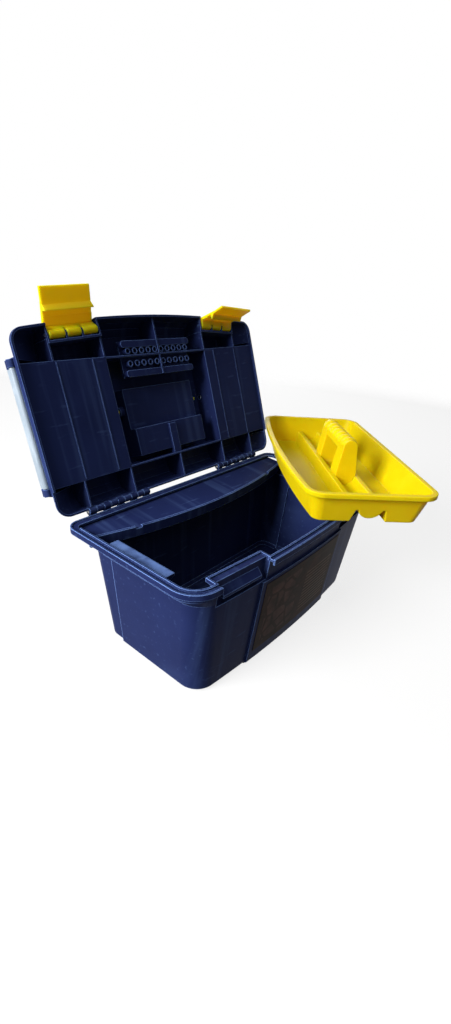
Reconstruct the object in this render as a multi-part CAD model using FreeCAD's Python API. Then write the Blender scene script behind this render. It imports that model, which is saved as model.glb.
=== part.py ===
import FreeCAD, Part
import math
import os

Vector = FreeCAD.Vector

# The tool box stands on the plane Z = 0 with the centre of its base at the origin.
# X runs along its length, the front faces -Y, and all lengths are in millimetres.

# Case body
base_length = 320.0
base_depth = 155.0
case_height = 148.0
side_flare = 32.0
front_flare = 21.0
rear_flare = 29.5
side_overhang = 18.0
rear_overhang = 20.5
case_wall = 2.5
floor_thickness = 3.0
base_round = 4.0
base_corner = 22.0
wall_corner = 24.0
rim_corner = 32.0
back_corner = 15.0
front_bow = 12.0
shoulder_drop = 22.0
shoulder_rise = 9.0
pad_thickness = 2.5
pad_back = 48.0
seam_width = 1.8
seam_depth = 1.2
panel_thickness = 2.5
panel_half = 87.0
panel_drop = 27.0

# Rim of the case
flange_thickness = 2.5
skirt_height = 5.5
skirt_thickness = 2.2
bead_width = 2.0
bead_height = 1.2
groove_width = 4.5
lip_thickness = 2.3
lip_height = 2.0
lip_end = 19.0

# Rear shelf with its bowed front edge
shelf_depth = 58.0
shelf_bow = 24.0
shelf_drop = 9.0
shelf_back_drop = 4.0
shelf_thickness = 2.5
shelf_edge_thickness = 3.0
shelf_edge_height = 10.0
shelf_edge_rise = 2.4
shelf_notch_place = 126.0
shelf_notch_width = 8.0

# Ledges that carry the tray inside the case
ledge_width = 17.0
ledge_front = -39.0
ledge_back = 46.0
ledge_drop = 1.5
ledge_thickness = 3.0
ledge_gusset = 9.0

# Hinge between case and lid
hinge_standoff = 4.5
hinge_rise = 4.0
hinge_margin = 34.0
hinge_length = 91.0
knuckle_count = 9
knuckle_radius = 4.2
knuckle_gap = 0.5
knuckle_arm = 6.0
knuckle_clearance = 0.4
knuckle_web = 8.0
knuckle_neck_share = 0.7
hinge_pin_radius = 1.8
pin_fit = 0.05
open_angle = 109.6

# Lid
lid_clearance = 0.5
lid_overlap = 1.0
lid_back_lift = 1.6
lid_back_reach = 31.0
lid_height = 38.0
lid_wall = 2.5
lid_corner = 16.0
lid_corner_loss = 4.0
lid_crown_inset = 16.0
lid_end_inset = 42.0
lid_rise_shares = (0.0, 0.1, 0.66, 0.9, 1.0)
lid_inset_shares = (0.0, 0.0, 0.08, 0.42, 1.0)
lid_end_shares = (0.0, 0.0, 0.62, 0.88, 1.0)
rib_thickness = 2.0
rib_clearance = 0.3

# Organiser wells in the lid and their covers
organiser_reach = 105.0
organiser_front_margin = 45.0
organiser_back_margin = 32.5
organiser_side = 25.0
organiser_slope = 13.0
organiser_shoulder = 9.0
well_floor = 2.2
well_crease_height = 0.6
well_crease_width = 1.2
well_crease_shares = (0.15, 0.58)
cover_axis_outset = 1.0
cover_axis_rise = 10.2
cover_barrel_radius = 3.4
cover_axle_radius = 1.6
cover_axle_reach = 1.8
cover_gap = 0.5
cover_sill = 6.5
cover_edge = 1.5
cover_ledge_width = 3.0
cover_ledge_height = 2.0
cover_ledge_gap = 0.3
cover_lug_length = 8.0
cover_lug_radius = 4.4
cover_tab_width = 24.0
cover_tab_reach = 3.0
cover_tab_thickness = 1.5

# Carry handle and its recess
recess_half = 58.0
recess_back_margin = 9.5
recess_deep_length = 30.0
recess_length = 80.0
recess_shallow = 16.0
recess_deep = 26.0
recess_wall = 2.2
strap_width = 12.0
strap_height = 3.0
handle_axis_place = 56.0
handle_axis_drop = 8.0
handle_reach = 46.0
handle_half = 54.0
handle_arm_width = 9.0
handle_arm_height = 9.0
handle_grip_radius = 7.0
handle_grip_neck = 5.8
handle_eye_radius = 5.8
handle_axle_radius = 3.0
handle_axle_reach = 18.0
handle_boss_radius = 6.0
handle_boss_length = 6.0

# Bit racks beside the front cross rib
rack_half = 58.0
rack_front_width = 17.0
rack_rear_width = 24.0
rack_drop = 1.2
rack_base = 3.0
rack_rise = 7.0
rack_bar_width = 8.0
rack_bar_round = 3.4
rack_tube_radius = 3.9
rack_tube_margin = 0.4
rack_slit = 0.4
bit_count = 10
bit_pitch = 11.0
bit_radius = 2.6
bit_depth = 8.5
edge_lean_share = 0.9

# Latches
notch_margin = 40.0
notch_width = 65.0
notch_rise = 12.0
latch_width = 62.5
latch_setback = 13.5
latch_room = 1.5
latch_barrel_radius = 5.0
latch_pin_radius = 1.6
latch_slit_place = 10.5
latch_slit_width = 3.2
latch_lug_width = 2.4
latch_lug_radius = 3.6
latch_plate_offset = 6.6
latch_plate_thickness = 2.8
latch_shoulder = 4.0
latch_step = 0.7
latch_step_top = 7.0
latch_step_bottom = 17.0
latch_tooth_top = 23.0
latch_tooth_height = 1.2
latch_tooth_slope = 4.5
latch_tooth_depth = 5.6
latch_neck = 31.0
latch_length = 46.0
latch_flare = 1.5
left_latch_angle = 64.0
right_latch_angle = 6.0

# Latch recesses and catches in the front of the case
pocket_inner_margin = 7.0
pocket_outer_margin = 2.8
pocket_room = 4.0
pocket_lip_room = 13.5
pocket_clearance = 1.3
catch_width = 56.0
catch_reach = 2.6
catch_gap = 1.0
catch_nose = 3.0
catch_slope_top = 8.0

# Lift-out tray
tray_length = 334.0
tray_width = 162.0
tray_height = 42.0
tray_bow = 12.0
tray_corner = 18.0
tray_wall = 2.0
tray_flange = 5.0
tray_flange_thickness = 2.4
tray_skirt = 6.0
tray_taper = 11.0
tray_channel_half = 13.5
tray_channel_drop = 37.0
tray_divider_foot = 22.5
tray_divider_top = 18.5
tray_divider_drop = 23.0
tray_grip_half = 52.0
tray_grip_rise = 28.0
tray_grip_height = 17.0
tray_grip_width = 19.0
tray_post_length = 24.0
tray_post_foot = 8.0
tray_ridge_count = 7
tray_ridge_pitch = 14.0
tray_ridge_crest = 5.0
tray_ridge_slope = 3.2
tray_ridge_height = 1.8
tray_ridge_sink = 1.0
tray_x = 181.5
tray_y = -19.2
tray_turn = 44.6
tray_rest_gap = 0.3

# Front label
label_half = 80.0
label_bottom = 18.0
label_margin = 5.0
label_thickness = 0.4
label_gap = 0.15

# Passing length of all cuts
overrun = 30.0

# Values worked out from the driving dimensions
base_half = base_length / 2
rim_half = base_half + side_flare
rim_front = -base_depth / 2 - front_flare
rim_back = base_depth / 2 + rear_flare
bow_radius = (rim_half ** 2 + front_bow ** 2) / (2 * front_bow)
wall_top = case_height - flange_thickness
lip_inset = bead_width + groove_width
lip_inner = lip_inset + lip_thickness
wall_half = rim_half - side_overhang
upper_half = rim_half - lip_inner + case_wall - pad_thickness
wall_front = rim_front + lip_inner - case_wall + pad_thickness
wall_back = rim_back - rear_overhang
shoulder_height = case_height - shoulder_drop
panel_top = case_height - panel_drop
label_top = panel_top - label_margin
lip_back = rim_back - lip_end
shelf_front = rim_back - shelf_depth
hinge_y = rim_back + hinge_standoff
hinge_z = case_height + hinge_rise
hinge_outer = rim_half - hinge_margin
hinge_inner = hinge_outer - hinge_length
lid_outset = lid_clearance + lid_wall
lid_bottom = case_height - lid_overlap
lid_top = lid_bottom + lid_height
lid_half = rim_half + lid_outset
lid_front = rim_front - lid_outset
lid_back = rim_back + lid_outset
rib_edge = case_height + lip_height + rib_clearance
organiser_inner = rim_half - organiser_reach
organiser_front = rim_front + organiser_front_margin
organiser_back = rim_back - organiser_back_margin
recess_back = organiser_back - recess_back_margin
recess_step = recess_back - recess_deep_length
recess_front = recess_back - recess_length
handle_axis_y = recess_back - handle_axis_place
notch_edge = case_height + rib_clearance
notch_outer = rim_half - notch_margin
notch_inner = notch_outer - notch_width
notch_middle = (notch_inner + notch_outer) / 2
latch_axis_y = rim_front + latch_setback
latch_axis_z = hinge_z
notch_y = latch_axis_y + latch_barrel_radius + latch_room
notch_top = latch_axis_z + notch_rise
latch_toe = math.degrees(math.asin(notch_middle / bow_radius))
pocket_inner = notch_inner - pocket_inner_margin
pocket_outer = notch_outer + pocket_outer_margin
pocket_y = latch_axis_y + pocket_room
pocket_lip_y = latch_axis_y + pocket_lip_room
cover_axis_x = lid_half + cover_axis_outset
cover_axis_z = lid_bottom + cover_axis_rise
cover_inner = organiser_inner + cover_edge
handle_axis_z = lid_top - handle_axis_drop
hang_angle = open_angle - math.degrees(math.pi / 2)
tray_rest_z = case_height + lip_height + tray_rest_gap


def block(x0, x1, y0, y1, z0, z1):
    """Box between two corners."""
    return Part.makeBox(x1 - x0, y1 - y0, z1 - z0, Vector(x0, y0, z0))


def rod_x(x0, x1, y, z, radius):
    """Round rod along X."""
    return Part.makeCylinder(radius, x1 - x0, Vector(x0, y, z), Vector(1, 0, 0))


def rod_y(y0, y1, x, z, radius):
    """Round rod along Y."""
    return Part.makeCylinder(radius, y1 - y0, Vector(x, y0, z), Vector(0, 1, 0))


def rod_z(z0, z1, x, y, radius):
    """Round rod along Z."""
    return Part.makeCylinder(radius, z1 - z0, Vector(x, y, z0), Vector(0, 0, 1))


def profile_x(points, x0, x1):
    """Side profile of (y, z) points drawn out along X."""
    corners = [Vector(x0, y, z) for y, z in points]
    face = Part.Face(Part.makePolygon(corners + corners[:1]))
    return face.extrude(Vector(x1 - x0, 0, 0))


def profile_y(points, y0, y1):
    """Front profile of (x, z) points drawn out along Y."""
    corners = [Vector(x, y0, z) for x, z in points]
    face = Part.Face(Part.makePolygon(corners + corners[:1]))
    return face.extrude(Vector(0, y1 - y0, 0))


def merge(shapes):
    """One solid from several that touch or overlap."""
    return shapes[0].multiFuse(shapes[1:]).removeSplitter()


def both_sides(shape):
    """The shape and its mirror image across the middle plane."""
    return [shape, mirrored(shape)]


def mirrored(shape):
    """Mirror image across the middle plane X = 0."""
    return shape.mirror(Vector(0, 0, 0), Vector(1, 0, 0))


def toed(shape):
    """Right-hand latch piece swung square to the bowed front."""
    copy = shape.copy()
    copy.rotate(Vector(notch_middle, latch_axis_y, 0), Vector(0, 0, 1), latch_toe)
    return copy


def arc(start, middle, end):
    """Edge of a circle through three points."""
    return Part.Arc(start, middle, end).toShape()


def outline(half, front, back, corner, rear, bow, z):
    """Closed plan: straight back and sides, a bowed front, and rounded front and rear corners."""
    turn = math.asin((half - corner) / (bow - corner))
    front_y = front + bow - (bow - corner) * math.cos(turn)
    back_y = back - rear
    inner = half - corner
    rear_inner = half - rear
    tip_x = bow * math.sin(turn)
    tip_y = front + bow - bow * math.cos(turn)
    lean = (math.pi / 2 - turn) / 2
    front_dx = corner * math.cos(lean)
    front_dy = corner * math.sin(lean)
    back_d = rear * math.cos(math.pi / 4)

    def point(x, y):
        return Vector(x, y, z)

    edges = [
        Part.makeLine(point(rear_inner, back), point(-rear_inner, back)),
        arc(point(-rear_inner, back), point(-rear_inner - back_d, back_y + back_d), point(-half, back_y)),
        Part.makeLine(point(-half, back_y), point(-half, front_y)),
        arc(point(-half, front_y), point(-inner - front_dx, front_y - front_dy), point(-tip_x, tip_y)),
        arc(point(-tip_x, tip_y), point(0, front), point(tip_x, tip_y)),
        arc(point(tip_x, tip_y), point(inner + front_dx, front_y - front_dy), point(half, front_y)),
        Part.makeLine(point(half, front_y), point(half, back_y)),
        arc(point(half, back_y), point(rear_inner + back_d, back_y + back_d), point(rear_inner, back)),
    ]
    return Part.Wire(edges)


def loft(wires):
    """Solid through a stack of plans."""
    return Part.makeLoft(wires, True, True)


def rim_plan(inset, z):
    """Plan of the rim, drawn in by an inset."""
    corner = rim_corner - inset
    rear = back_corner - inset
    return outline(rim_half - inset, rim_front + inset, rim_back - inset, corner, rear, bow_radius - inset, z)


def rim_slab(inset, z0, z1):
    """Upright slab of the rim's plan."""
    return loft([rim_plan(inset, z0), rim_plan(inset, z1)])


def rim_ring(outer_inset, inner_inset, z0, z1):
    """Upright ring along the rim."""
    return rim_slab(outer_inset, z0, z1).cut(rim_slab(inner_inset, z0, z1))


def wall_half_at(z):
    """Half length of the case wall at a height: a sloping wall that widens at a shoulder."""
    if z <= shoulder_height:
        return base_half + (wall_half - base_half) * z / shoulder_height
    share = min((z - shoulder_height) / shoulder_rise, 1)
    return wall_half + (upper_half - wall_half) * share


def wall_plan(grow, z):
    """Plan of the sloping case wall at a height, grown outward."""
    share = z / wall_top
    half = wall_half_at(z) + grow
    front = -base_depth / 2 + (wall_front + base_depth / 2) * share - grow
    back = base_depth / 2 + (wall_back - base_depth / 2) * share + grow
    corner = base_corner + (wall_corner - base_corner) * share + grow
    return outline(half, front, back, corner, back_corner + grow, bow_radius + grow, z)


def tub(grow, z0, z1):
    """Tapered tub with a rounded bottom edge and a shoulder under the rim."""
    heights = (z0 + base_round, shoulder_height, shoulder_height + shoulder_rise, z1)
    return loft([wall_plan(grow - base_round, z0)] + [wall_plan(grow, z) for z in heights])


def wall_seam():
    """Upright groove round the walls, just behind the front pad."""
    slab = block(-rim_half, rim_half, pad_back, pad_back + seam_width, 0, shoulder_height)
    return tub(overrun, 0, wall_top).cut(tub(-seam_depth, 0, wall_top)).common(slab)


def front_half_space(x_half, y1, z1):
    """Room in front of a plane, between two side planes and below a height."""
    return block(-x_half, x_half, rim_front - overrun, y1, -overrun, z1)


def shelf_plan(shift):
    """Room behind the bowed front edge of the shelf."""
    reach = rim_half - lip_inner
    ends_y = shelf_front + shelf_bow + shift
    left = Vector(-reach, ends_y, 0)
    right = Vector(reach, ends_y, 0)
    far_left = Vector(-reach, rim_back + overrun, 0)
    far_right = Vector(reach, rim_back + overrun, 0)
    edges = [
        arc(left, Vector(0, shelf_front + shift, 0), right),
        Part.makeLine(right, far_right),
        Part.makeLine(far_right, far_left),
        Part.makeLine(far_left, left),
    ]
    return Part.Face(Part.Wire(edges)).extrude(Vector(0, 0, case_height + overrun))


def shelf_profile(top_rise, bottom_drop):
    """Sloping band between two heights above and below the shelf's top."""
    back_z = case_height - shelf_back_drop
    front_z = case_height - shelf_drop
    points = [
        (shelf_front, front_z + top_rise),
        (rim_back, back_z + top_rise),
        (rim_back, back_z - bottom_drop),
        (shelf_front, front_z - bottom_drop),
    ]
    return profile_x(points, -rim_half, rim_half)


def rear_shelf():
    """Shelf behind the opening, with its hanging front edge."""
    room = rim_slab(skirt_thickness / 2, 0, case_height)
    plate = shelf_profile(0, shelf_thickness).common(shelf_plan(0)).common(room)
    edge = shelf_plan(0).cut(shelf_plan(shelf_edge_thickness))
    edge = edge.common(shelf_profile(shelf_edge_rise, shelf_edge_height))
    for side in (-1, 1):
        place = side * shelf_notch_place
        half = shelf_notch_width / 2
        notch = block(place - half, place + half, 0, rim_back, 0, case_height)
        above = shelf_profile(shelf_edge_rise, 0)
        edge = edge.cut(notch.common(above))
    return [plate, edge]


def tray_ledge():
    """Ledge on the right-hand inner wall with a sloping underside."""
    top = case_height - ledge_drop
    outer = upper_half + pad_thickness - case_wall / 2
    inner = outer - ledge_width
    points = [
        (inner, top),
        (outer, top),
        (outer, top - ledge_thickness - ledge_gusset),
        (inner, top - ledge_thickness),
    ]
    return profile_y(points, ledge_front, ledge_back)


def knuckle_places():
    """Start and end of each right-hand knuckle along X."""
    pitch = (hinge_outer - hinge_inner) / knuckle_count
    starts = [hinge_inner + index * pitch for index in range(knuckle_count)]
    return [(start + knuckle_gap / 2, start + pitch - knuckle_gap / 2) for start in starts]


def case_knuckles():
    """Hinge knuckles that stand on the back of the rim."""
    pieces = []
    for x0, x1 in knuckle_places()[0::2]:
        foot = block(x0, x1, rim_back - skirt_thickness, hinge_y, case_height - knuckle_web, case_height)
        neck_y = hinge_y - knuckle_radius * knuckle_neck_share
        neck = block(x0, x1, neck_y, hinge_y, case_height - knuckle_web, hinge_z)
        pieces += both_sides(merge([foot, neck, rod_x(x0, x1, hinge_y, hinge_z, knuckle_radius)]))
    return pieces


def hinge_bores():
    """Holes for the two hinge pins."""
    bore = rod_x(hinge_inner, hinge_outer, hinge_y, hinge_z, hinge_pin_radius + pin_fit)
    return both_sides(bore)


def pocket_frame(outer_shell):
    """Walls round the right-hand latch recess, and the rim behind it."""
    x0 = pocket_inner - case_wall
    x1 = pocket_outer + case_wall
    walls = block(x0, x1, rim_front, pocket_y + case_wall, pocket_floor() - case_wall, wall_top)
    flange = block(x0, x1, pocket_y, pocket_lip_y, wall_top, case_height)
    lip_front = pocket_lip_y - lip_thickness
    back_lip = block(x0, x1, lip_front, pocket_lip_y, wall_top, case_height + lip_height)
    returns = []
    for start in (x0, x1 - lip_thickness):
        lip = block(start, start + lip_thickness, rim_front, pocket_lip_y, wall_top, case_height + lip_height)
        returns.append(toed(lip).common(rim_slab(lip_inset, wall_top, case_height + lip_height)))
    return [toed(walls).common(outer_shell), toed(flange), toed(back_lip)] + returns


def pocket_floor():
    """Height of the recess's floor, just below the closed latch's tooth."""
    return latch_axis_z - latch_tooth_top - latch_tooth_height - latch_tooth_slope - pocket_clearance


def catch_bottom():
    """Height of the catch's underside, just above the closed latch's tooth."""
    return latch_axis_z - latch_tooth_top + catch_gap


def latch_catch():
    """Catch in the right-hand recess, with a sloping top for the tooth to ride over."""
    reach_y = latch_axis_y - catch_reach
    bottom = catch_bottom()
    points = [
        (pocket_y + case_wall, case_height - catch_slope_top),
        (pocket_y, case_height - catch_slope_top),
        (reach_y, bottom + catch_nose),
        (reach_y, bottom),
        (pocket_y + case_wall, bottom),
    ]
    middle = notch_middle
    wide = profile_x(points, pocket_inner, pocket_outer)
    nose = block(pocket_inner, pocket_outer, rim_front - overrun, pocket_y, bottom, case_height)
    trimmed = wide.cut(nose)
    nose_piece = profile_x(points, middle - catch_width / 2, middle + catch_width / 2)
    return [toed(trimmed), toed(nose_piece)]


def case_body():
    """Tub with its rim, shelf, ledges, latch recesses and knuckles."""
    fore = pad_thickness
    panel = pad_thickness + panel_thickness
    shell = merge([
        tub(0, 0, wall_top),
        tub(fore, 0, wall_top).common(front_half_space(rim_half, pad_back, wall_top)),
        tub(panel, 0, wall_top).common(front_half_space(panel_half, 0, panel_top)),
    ])
    hollow = tub(-case_wall, floor_thickness, case_height)
    fore_hollow = tub(fore - case_wall, floor_thickness, case_height)
    fore_hollow = fore_hollow.common(front_half_space(rim_half, pad_back - case_wall, case_height))
    hollow = merge([hollow, fore_hollow])
    flange = rim_slab(0, wall_top, case_height)
    skirt = rim_ring(0, skirt_thickness, case_height - skirt_height, wall_top)
    bead = rim_ring(0, bead_width, case_height, case_height + bead_height)
    lip = rim_ring(lip_inset, lip_inner, case_height, case_height + lip_height)
    lip_room = block(-rim_half, rim_half, rim_front, lip_back, case_height, case_height + lip_height)
    body = merge([shell, flange, skirt, bead, lip.common(lip_room)])
    body = body.cut(hollow).cut(wall_seam())
    behind = shelf_plan(0).common(rim_slab(lip_inner, 0, case_height + overrun))
    body = body.cut(behind.common(shelf_profile(case_height, 0)))
    pocket_top = case_height + overrun
    pocket = block(pocket_inner, pocket_outer, rim_front - overrun, pocket_y, pocket_floor(), pocket_top)
    frame = pocket_frame(shell)
    for wall in frame:
        body = merge([body] + both_sides(wall))
    for cut in both_sides(toed(pocket)):
        body = body.cut(cut)
    lip_top = case_height + lip_height
    lip_front = pocket_lip_y - lip_thickness
    for y0, y1 in ((rim_front, lip_front), (pocket_lip_y, pocket_lip_y + overrun)):
        for cut in both_sides(toed(block(pocket_inner, pocket_outer, y0, y1, case_height, lip_top))):
            body = body.cut(cut)
    additions = rear_shelf() + case_knuckles() + both_sides(tray_ledge())
    for piece in latch_catch():
        additions += both_sides(piece)
    body = merge([body] + additions)
    for bore in hinge_bores():
        body = body.cut(bore)
    return body


def lid_form(wall):
    """Crowned solid of the lid, drawn in by a wall and lowered as much."""
    plans = []
    for rise, share, end_share in zip(lid_rise_shares, lid_inset_shares, lid_end_shares):
        inset = wall + lid_crown_inset * share
        half = lid_half - wall - lid_end_inset * end_share
        corner = lid_corner - wall - lid_corner_loss * share
        bow = bow_radius + lid_outset - inset
        z = lid_bottom + (lid_height - wall) * rise
        plans.append(outline(half, lid_front + inset, lid_back - inset, corner, corner, bow, z))
    return loft(plans)


def organiser_form(wall):
    """Block over the right-hand wells with a sloping shoulder, drawn in by a wall."""
    side = lid_half - wall
    top = lid_top - wall
    points = [
        (organiser_inner, rib_edge),
        (side, rib_edge),
        (side, lid_bottom + organiser_side),
        (side - organiser_slope, top),
        (organiser_inner, top),
    ]
    ends = organiser_shoulder - wall
    return profile_y(points, organiser_front - ends, organiser_back + ends)


def lid_solid(wall):
    """Whole form of the lid with the blocks over its wells, drawn in by a wall."""
    solid = lid_form(wall)
    for piece in both_sides(organiser_form(wall)):
        solid = solid.fuse(piece)
    return solid


def cover_room(gap):
    """Room of the right-hand organiser cover in the lid's skin, grown by a gap."""
    front = organiser_front + cover_gap - gap
    back = organiser_back - cover_gap + gap
    bottom = lid_bottom + cover_sill + cover_gap - gap
    return block(cover_inner + cover_gap - gap, lid_half + overrun, front, back, bottom, lid_top + overrun)


def recess_box(grow, top):
    """Stepped room of the handle's recess up to a height, grown by a wall."""
    half = recess_half + grow
    back = recess_back + grow
    deep = block(-half, half, recess_step - grow, back, lid_top - recess_deep - grow, top)
    shallow = block(-half, half, recess_front - grow, back, lid_top - recess_shallow - grow, top)
    return merge([deep, shallow])


def lid_ribs():
    """Walls and ribs inside the lid, before they are trimmed to its form."""
    half = rib_thickness / 2
    strap_half = strap_width / 2
    strap_low = deep_floor() - strap_height
    pieces = [
        block(-lid_half, lid_half, organiser_front - rib_thickness, organiser_front, rib_edge, lid_top),
        block(-lid_half, lid_half, organiser_back, organiser_back + rib_thickness, rib_edge, lid_top),
        block(-half, half, lid_front, rack_front(), rib_edge, lid_top),
        block(-half, half, lid_front, rack_back(), rib_edge, rack_base_top() - rack_slit),
        block(-half, half, organiser_back, lid_back, rib_edge, lid_top),
        block(-strap_half, strap_half, recess_step, organiser_back, strap_low, lid_top),
    ]
    one_side = [
        block(organiser_inner - rib_thickness, organiser_inner, lid_front, lid_back, rib_edge, lid_top),
        block(notch_outer, notch_outer + rib_thickness, notch_y, organiser_front, rib_edge, lid_top),
        block(notch_outer, notch_outer + rib_thickness, organiser_back, lid_back, rib_edge, lid_top),
        block(organiser_inner, lid_half, organiser_front, organiser_back, rib_edge, rib_edge + well_floor),
    ]
    for share in well_crease_shares:
        x0 = organiser_inner + (lid_half - organiser_inner) * share
        x1 = x0 + well_crease_width
        low = rib_edge - well_crease_height
        one_side.append(block(x0, x1, organiser_front, organiser_back, low, rib_edge))
    for piece in one_side + notch_walls():
        pieces += both_sides(piece)
    return pieces


def notch_walls():
    """Cheeks, back wall and roof of the right-hand latch notch."""
    front = lid_front - lid_wall
    back = notch_y + lid_wall
    walls = [
        block(notch_inner - rib_thickness, notch_inner, front, back, notch_edge, lid_top),
        block(notch_outer, notch_outer + rib_thickness, front, back, notch_edge, lid_top),
        block(notch_inner, notch_outer, notch_y, back, notch_edge, lid_top),
        block(notch_inner, notch_outer, front, back, notch_top, notch_top + lid_wall),
    ]
    return [toed(wall) for wall in walls]


def rack_front():
    """Front face of the front bit rack."""
    return organiser_front - rib_thickness - rack_front_width


def rack_back():
    """Rear face of the rear bit rack."""
    return organiser_front + rack_rear_width


def rack_base_top():
    """Face of the racks' base strips that carries the tubes and bars."""
    return rib_edge + rack_drop + rack_rise


def deep_floor():
    """Underside of the deep part of the handle's recess."""
    return lid_top - recess_deep - recess_wall


def lid_shell():
    """Closed lid with ribs, wells, handle recess, notches and knuckles."""
    skin = lid_solid(0).cut(lid_solid(lid_wall))
    for room in both_sides(cover_room(cover_gap)):
        skin = skin.cut(room)
    core = lid_solid(lid_wall / 2)
    ribs = merge(lid_ribs()).common(core)
    boss_end = recess_half + recess_wall + handle_boss_length
    boss = rod_x(recess_half, boss_end, handle_axis_y, handle_axis_z, handle_boss_radius)
    lid = skin.fuse(ribs).fuse(recess_box(recess_wall, lid_top - lid_wall / 2))
    for piece in both_sides(boss):
        lid = lid.fuse(piece)
    lid = lid.cut(recess_box(0, lid_top + overrun))
    axle_hole = rod_x(
        recess_half - overrun, recess_half + overrun,
        handle_axis_y, handle_axis_z, handle_axle_radius + pin_fit,
    )
    notch = block(notch_inner, notch_outer, lid_front - overrun, notch_y, lid_bottom, notch_top)
    cover_axle = rod_y(
        organiser_front - cover_axle_reach - cover_gap, organiser_back + cover_axle_reach + cover_gap,
        cover_axis_x, cover_axis_z, cover_axle_radius + pin_fit,
    )
    for cut in (axle_hole, toed(notch)):
        for piece in both_sides(cut):
            lid = lid.cut(piece)
    for room in case_knuckle_room():
        lid = lid.cut(room)
    back_room = block(
        -lid_half, lid_half, lid_back - lid_back_reach, lid_back, lid_bottom, case_height + lid_back_lift
    )
    lid = lid.cut(back_room)
    for piece in latch_lugs() + lid_knuckles() + cover_lugs():
        lid = lid.fuse(piece)
    pin = latch_rod(latch_pin_radius + pin_fit)
    for bore in hinge_bores() + both_sides(toed(pin)) + both_sides(cover_axle):
        lid = lid.cut(bore)
    return lid


def case_knuckle_room():
    """Rooms in the lid's back wall for the case's knuckles."""
    pieces = []
    for x0, x1 in knuckle_places()[0::2]:
        room = rod_x(x0 - knuckle_gap, x1 + knuckle_gap, hinge_y, hinge_z, knuckle_radius + knuckle_clearance)
        pieces += both_sides(room)
    return pieces


def cover_lugs():
    """Lugs on the lid's sides that hold the covers' axles, and ledges under the covers' free edges."""
    pieces = []
    for y0, y1 in (
        (organiser_front - cover_lug_length, organiser_front),
        (organiser_back, organiser_back + cover_lug_length),
    ):
        pieces += both_sides(rod_y(y0, y1, cover_axis_x, cover_axis_z, cover_lug_radius))
    top = lid_top - lid_wall - cover_ledge_gap
    ledge = block(
        organiser_inner - rib_thickness, organiser_inner + cover_ledge_width,
        organiser_front, organiser_back, top - cover_ledge_height, top,
    )
    return pieces + both_sides(ledge)


def latch_lugs():
    """Lugs in the notches that hold the latch pins."""
    pieces = []
    for side in (-1, 1):
        middle = notch_middle + side * latch_slit_place
        x0 = middle - latch_lug_width / 2
        x1 = middle + latch_lug_width / 2
        low = latch_axis_z - latch_lug_radius
        high = latch_axis_z + latch_lug_radius
        arm = block(x0, x1, latch_axis_y, notch_y + lid_wall / 2, low, high)
        lug = merge([arm, rod_x(x0, x1, latch_axis_y, latch_axis_z, latch_lug_radius)])
        pieces += both_sides(toed(lug))
    return pieces


def lid_knuckles():
    """Hinge knuckles on arms from the lid's back wall."""
    pieces = []
    for x0, x1 in knuckle_places()[1::2]:
        half = knuckle_arm / 2
        arm = block(x0, x1, lid_back - lid_wall, hinge_y, hinge_z - half, hinge_z + half)
        pieces += both_sides(merge([arm, rod_x(x0, x1, hinge_y, hinge_z, knuckle_radius)]))
    return pieces


def latch_rod(radius):
    """Rod across the right-hand notch, from wall to wall, before it is set square to the front."""
    return rod_x(notch_inner - rib_thickness, notch_outer + rib_thickness, latch_axis_y, latch_axis_z, radius)


def latch():
    """Right-hand latch, hanging closed from its pin, before it is set square to the front."""
    x0 = notch_middle - latch_width / 2
    x1 = notch_middle + latch_width / 2

    def at(out, down):
        return (latch_axis_y - out, latch_axis_z - down)

    inner = latch_plate_offset
    outer = latch_plate_offset + latch_plate_thickness
    tooth = inner - latch_tooth_depth
    tooth_low = latch_tooth_top + latch_tooth_height
    points = [
        at(0, -latch_barrel_radius),
        at(0, latch_barrel_radius),
        at(inner, latch_step_top),
        at(inner - latch_step, latch_step_top),
        at(inner - latch_step, latch_step_bottom),
        at(inner, latch_step_bottom),
        at(inner, latch_tooth_top),
        at(tooth, latch_tooth_top),
        at(tooth, tooth_low),
        at(inner, tooth_low + latch_tooth_slope),
        at(inner, latch_neck),
        at(inner + latch_flare, latch_length),
        at(outer + latch_flare, latch_length),
        at(outer, latch_neck),
        at(outer, latch_shoulder - latch_barrel_radius),
        at(outer - latch_shoulder, -latch_barrel_radius),
    ]
    body = merge([
        profile_x(points, x0, x1),
        rod_x(x0, x1, latch_axis_y, latch_axis_z, latch_barrel_radius),
    ])
    for side in (-1, 1):
        middle = notch_middle + side * latch_slit_place
        reach = latch_barrel_radius + pin_fit
        slit = block(
            middle - latch_slit_width / 2, middle + latch_slit_width / 2,
            latch_axis_y - inner, latch_axis_y + reach, latch_axis_z - reach, latch_axis_z + reach,
        )
        body = body.cut(slit)
    return body.cut(latch_rod(latch_pin_radius + pin_fit))


def organiser_cover():
    """Right-hand clear cover, shut flush in the lid's skin."""
    skin = lid_solid(0).cut(lid_solid(lid_wall))
    plate = skin.common(cover_room(0))
    front = organiser_front + cover_gap
    back = organiser_back - cover_gap
    barrel = rod_y(front, back, cover_axis_x, cover_axis_z, cover_barrel_radius)
    axle = rod_y(
        front - cover_gap - cover_axle_reach, back + cover_gap + cover_axle_reach,
        cover_axis_x, cover_axis_z, cover_axle_radius,
    )
    below = block(0, lid_half + overrun, front - overrun, back + overrun, lid_bottom, cover_axis_z)
    middle = (front + back) / 2
    tab = block(
        cover_inner + cover_gap, cover_inner + cover_gap + cover_tab_reach,
        middle - cover_tab_width / 2, middle + cover_tab_width / 2,
        lid_top - lid_wall, lid_top + cover_tab_thickness,
    )
    return merge([plate.cut(below), barrel, axle, tab])


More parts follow.
